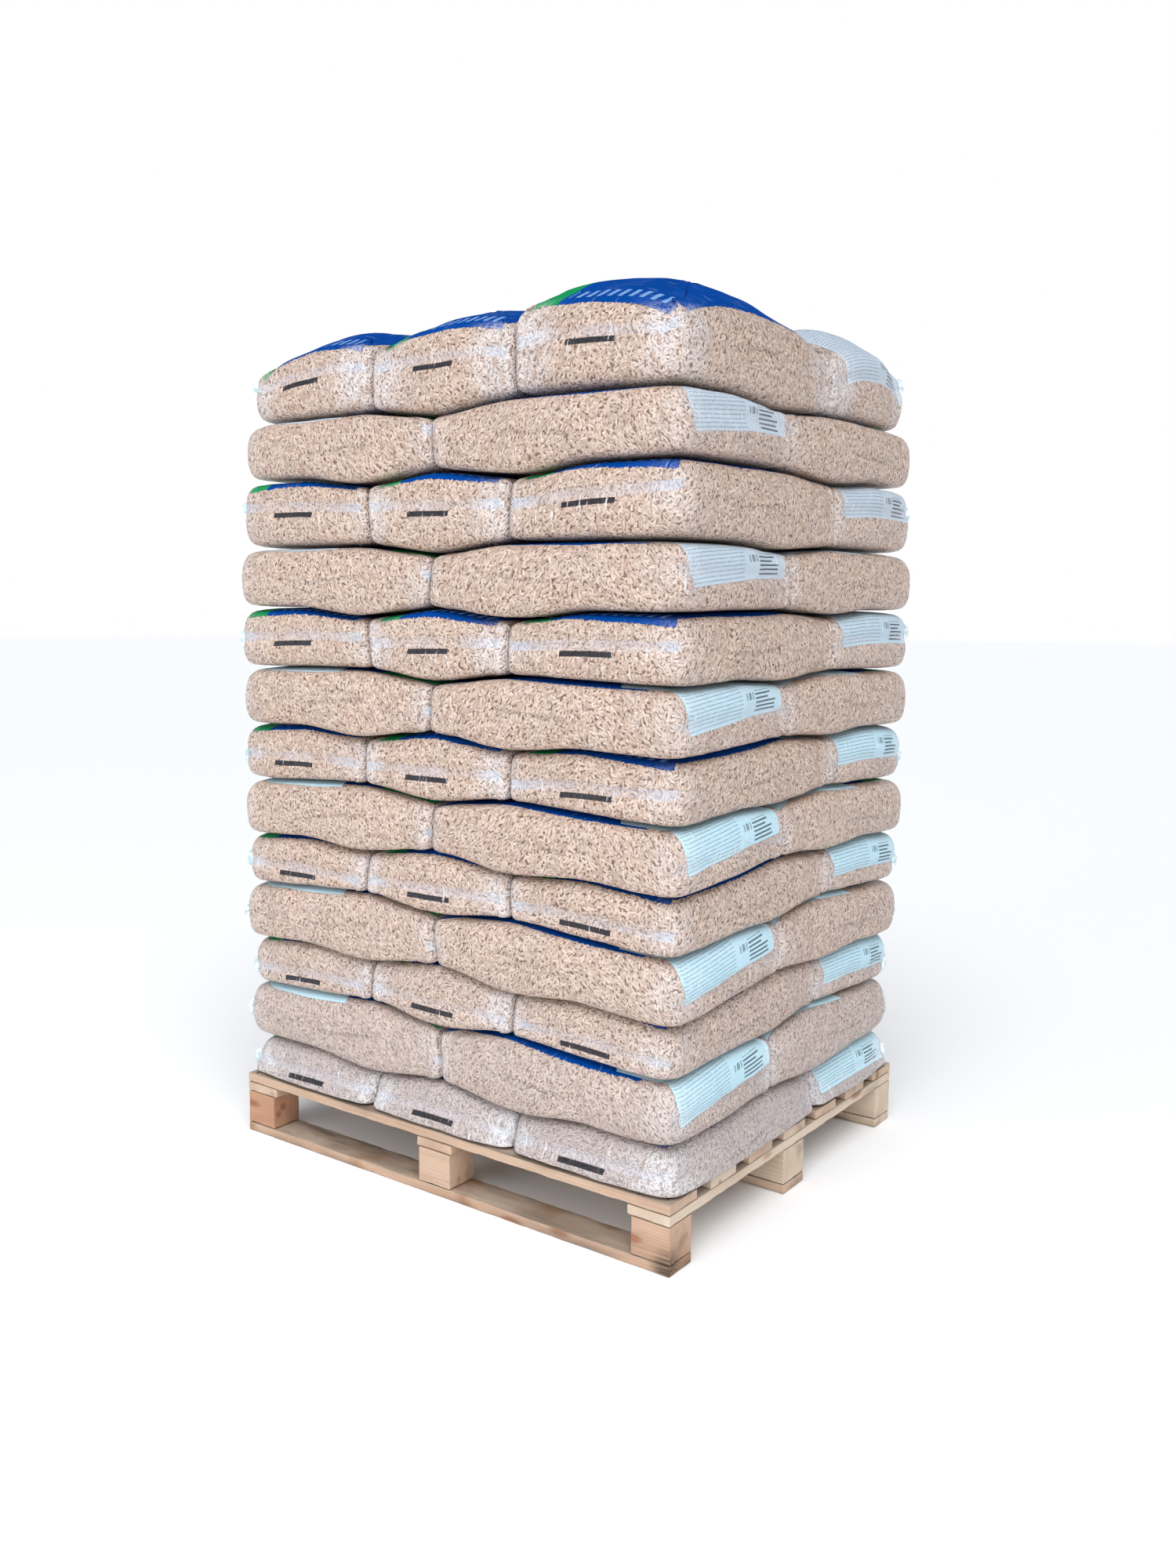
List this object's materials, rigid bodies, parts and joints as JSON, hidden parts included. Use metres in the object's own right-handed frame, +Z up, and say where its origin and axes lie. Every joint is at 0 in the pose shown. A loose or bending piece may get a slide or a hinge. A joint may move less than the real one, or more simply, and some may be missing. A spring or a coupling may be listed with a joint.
{
  "type": "pallet of sacks",
  "caption": "Wooden block pallet loaded with layers of clear film sacks full of wood pellets, cross-stacked so that the layers bind each other.",
  "frame": {"origin": "on the floor under the middle of the pallet", "axes": "+Z up through the stack, +X along the pallet's long side, +Y along its short side towards the rear row of blocks"},
  "size_m": [1.24, 1.04, 1.8919],
  "materials": {
    "pallet_pine": "rough sawn pine, pale peach with dark knots",
    "deck_pine": "rough sawn pine, greyed on top",
    "filled_sacks": "clear glossy film over tan wood pellets, printed deep blue and green on top"
  },
  "bodies": {
    "root": {"bottom_board_front": "pallet_pine", "bottom_board_middle": "pallet_pine", "bottom_board_rear": "pallet_pine", "block_front_left": "pallet_pine", "block_front_middle": "pallet_pine", "block_front_right": "pallet_pine", "block_middle_left": "pallet_pine", "block_middle_middle": "pallet_pine", "block_middle_right": "pallet_pine", "block_rear_left": "pallet_pine", "block_rear_middle": "pallet_pine", "block_rear_right": "pallet_pine", "stringer_left": "pallet_pine", "stringer_middle": "pallet_pine", "stringer_right": "pallet_pine", "deck_board_1": "deck_pine", "deck_board_2": "deck_pine", "deck_board_3": "deck_pine", "deck_board_4": "deck_pine", "deck_board_5": "deck_pine", "deck_board_6": "deck_pine", "deck_board_7": "deck_pine", "sack_layer_01": "filled_sacks", "sack_layer_02": "filled_sacks", "sack_layer_03": "filled_sacks", "sack_layer_04": "filled_sacks", "sack_layer_05": "filled_sacks", "sack_layer_06": "filled_sacks", "sack_layer_07": "filled_sacks", "sack_layer_08": "filled_sacks", "sack_layer_09": "filled_sacks", "sack_layer_10": "filled_sacks", "sack_layer_11": "filled_sacks", "sack_layer_12": "filled_sacks", "sack_layer_13": "filled_sacks"}
  },
  "joints": []
}
